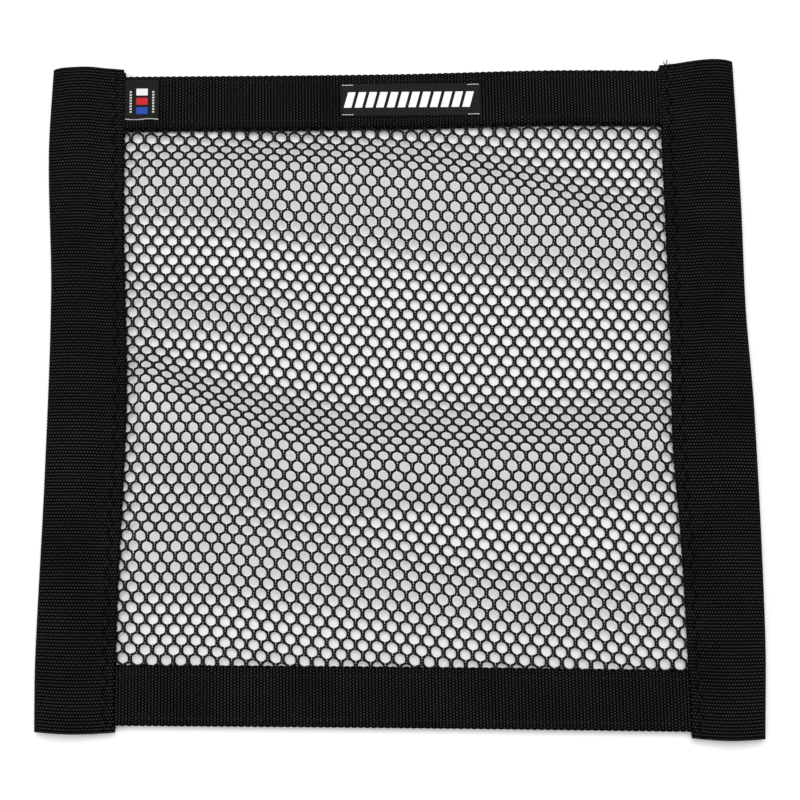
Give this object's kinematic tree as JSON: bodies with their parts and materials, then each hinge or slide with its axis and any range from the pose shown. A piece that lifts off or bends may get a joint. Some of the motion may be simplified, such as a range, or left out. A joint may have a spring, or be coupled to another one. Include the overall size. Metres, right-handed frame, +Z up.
{
  "type": "mesh window screen",
  "caption": "Flexible square screen of black knitted mesh, bound by flat webbing bands, with an open-ended webbing sleeve down each side for a mounting rod.",
  "frame": {"origin": "on the surface that the screen lies on, under the middle of its overall box", "axes": "+X across the screen from the tagged side to the other, +Y towards the labelled band, +Z up out of the front face"},
  "size_m": [0.485, 0.4598, 0.0208],
  "materials": {
    "sleeve_webbing": "ribbed woven polyester webbing, dull black",
    "band_webbing": "ribbed woven polyester webbing, dull black",
    "knitted_net": "knitted black polyester yarn",
    "black_thread": "bonded black sewing thread, slight sheen",
    "white_thread": "white sewing thread",
    "label_ribbon": null
  },
  "bodies": {
    "root": {"net_panel": "knitted_net", "left_sleeve": "sleeve_webbing", "left_sleeve_needle_thread": "black_thread", "left_sleeve_bobbin_thread": "black_thread", "right_sleeve": "sleeve_webbing", "right_sleeve_needle_thread": "black_thread", "right_sleeve_bobbin_thread": "black_thread", "top_band_front": "band_webbing", "top_band_back": "band_webbing", "top_band_upper_needle_thread": "black_thread", "top_band_upper_bobbin_thread": "black_thread", "top_band_lower_needle_thread": "black_thread", "top_band_lower_bobbin_thread": "black_thread", "bottom_band_front": "band_webbing", "bottom_band_back": "band_webbing", "bottom_band_upper_needle_thread": "black_thread", "bottom_band_upper_bobbin_thread": "black_thread", "bottom_band_lower_needle_thread": "black_thread", "bottom_band_lower_bobbin_thread": "black_thread", "centre_label": "label_ribbon", "label_tack_lower_left": "white_thread", "label_tack_upper_left": "white_thread", "label_tack_lower_right": "white_thread", "label_tack_upper_right": "white_thread", "corner_tag": "label_ribbon", "corner_tag_stitches": "black_thread"}
  },
  "joints": []
}
